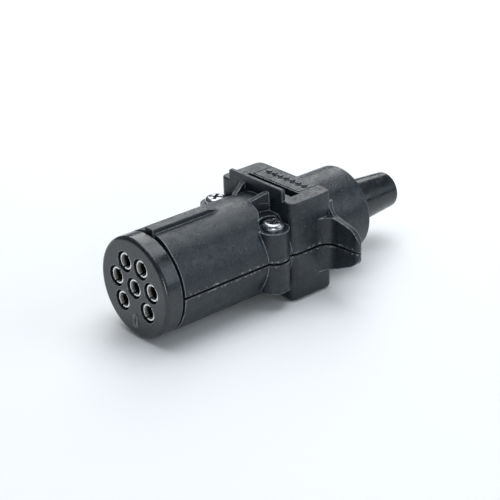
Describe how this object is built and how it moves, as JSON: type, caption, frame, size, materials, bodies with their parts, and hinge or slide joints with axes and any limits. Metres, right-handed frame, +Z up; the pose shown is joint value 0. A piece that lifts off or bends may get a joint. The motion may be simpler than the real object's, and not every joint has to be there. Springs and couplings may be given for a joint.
{
  "type": "trailer wiring connector",
  "caption": "Round trailer wiring plug in black plastic: barrel with contact tubes in its face, key rib, latch flange, finger wings, cable hub and tapered boot.",
  "frame": {"origin": "centre of the round mating face, on the plug's axis", "axes": "+X along the plug from the mating face to the cable; +Z up, the latch flange's side; Y across, between the finger wings"},
  "size_m": [0.0732, 0.0406, 0.0251],
  "materials": {
    "shell_plastic": "fine-grained moulded black plastic, satin",
    "carrier_plastic": "smooth moulded black plastic, satin",
    "boot_rubber": "smooth black rubber, slightly glossy",
    "contact_metal": "nickel-plated brass, worn bright at the mouth",
    "screw_steel": "zinc-plated steel",
    "grip_plastic": "moulded black plastic"
  },
  "bodies": {
    "base": {"lower_shell": "shell_plastic", "cable_hub": "shell_plastic", "contact_carrier": "carrier_plastic", "cable_boot": "boot_rubber", "contact_1": "contact_metal", "contact_2": "contact_metal", "contact_3": "contact_metal", "contact_4": "contact_metal", "contact_5": "contact_metal", "contact_6": "contact_metal", "contact_7": "contact_metal"},
    "cover": {"upper_shell": "shell_plastic"},
    "screw_left": {"case_screw_left": "screw_steel"},
    "screw_right": {"case_screw_right": "screw_steel"},
    "grip": {"cord_grip": "grip_plastic", "grip_screw_left": "screw_steel", "grip_screw_right": "screw_steel"},
    "terminal_screw_1": {"terminal_screw_1": "screw_steel"},
    "terminal_screw_2": {"terminal_screw_2": "screw_steel"},
    "terminal_screw_3": {"terminal_screw_3": "screw_steel"},
    "terminal_screw_4": {"terminal_screw_4": "screw_steel"},
    "terminal_screw_5": {"terminal_screw_5": "screw_steel"},
    "terminal_screw_6": {"terminal_screw_6": "screw_steel"},
    "terminal_screw_7": {"terminal_screw_7": "screw_steel"}
  },
  "joints": [
    {"name": "cover_lift", "type": "slide", "parent": "base", "child": "cover", "axis": [0, 0, 1], "range_m": [0, 0.022]},
    {"name": "case_screw_left_turn", "type": "hinge", "parent": "cover", "child": "screw_left", "pos_m": [0.03, 0.0092, 0.0067], "axis": [0, 0, 1], "continuous": true},
    {"name": "case_screw_right_turn", "type": "hinge", "parent": "cover", "child": "screw_right", "pos_m": [0.03, -0.0092, 0.0067], "axis": [0, 0, 1], "continuous": true},
    {"name": "cord_grip_open", "type": "slide", "parent": "base", "child": "grip", "axis": [0, 0, 1], "range_m": [0, 0.0022]},
    {"name": "terminal_screw_1_turn", "type": "hinge", "parent": "base", "child": "terminal_screw_1", "pos_m": [0.0188, -0.00262, 0.00514], "axis": [0, -0.454, 0.891], "continuous": true},
    {"name": "terminal_screw_2_turn", "type": "hinge", "parent": "base", "child": "terminal_screw_2", "pos_m": [0.0188, -0.0057, 0.0009], "axis": [0, -0.9877, 0.1564], "continuous": true},
    {"name": "terminal_screw_3_turn", "type": "hinge", "parent": "base", "child": "terminal_screw_3", "pos_m": [0.0188, -0.00408, -0.00408], "axis": [0, -0.7071, -0.7071], "continuous": true},
    {"name": "terminal_screw_4_turn", "type": "hinge", "parent": "base", "child": "terminal_screw_4", "pos_m": [0.0188, 0.00408, -0.00408], "axis": [0, 0.7071, -0.7071], "continuous": true},
    {"name": "terminal_screw_5_turn", "type": "hinge", "parent": "base", "child": "terminal_screw_5", "pos_m": [0.0188, 0.0057, 0.0009], "axis": [0, 0.9877, 0.1564], "continuous": true},
    {"name": "terminal_screw_6_turn", "type": "hinge", "parent": "base", "child": "terminal_screw_6", "pos_m": [0.0188, 0.00262, 0.00514], "axis": [0, 0.454, 0.891], "continuous": true},
    {"name": "terminal_screw_7_turn", "type": "hinge", "parent": "base", "child": "terminal_screw_7", "pos_m": [0.0238, 0, 0], "axis": [0, 0, 1], "continuous": true}
  ]
}
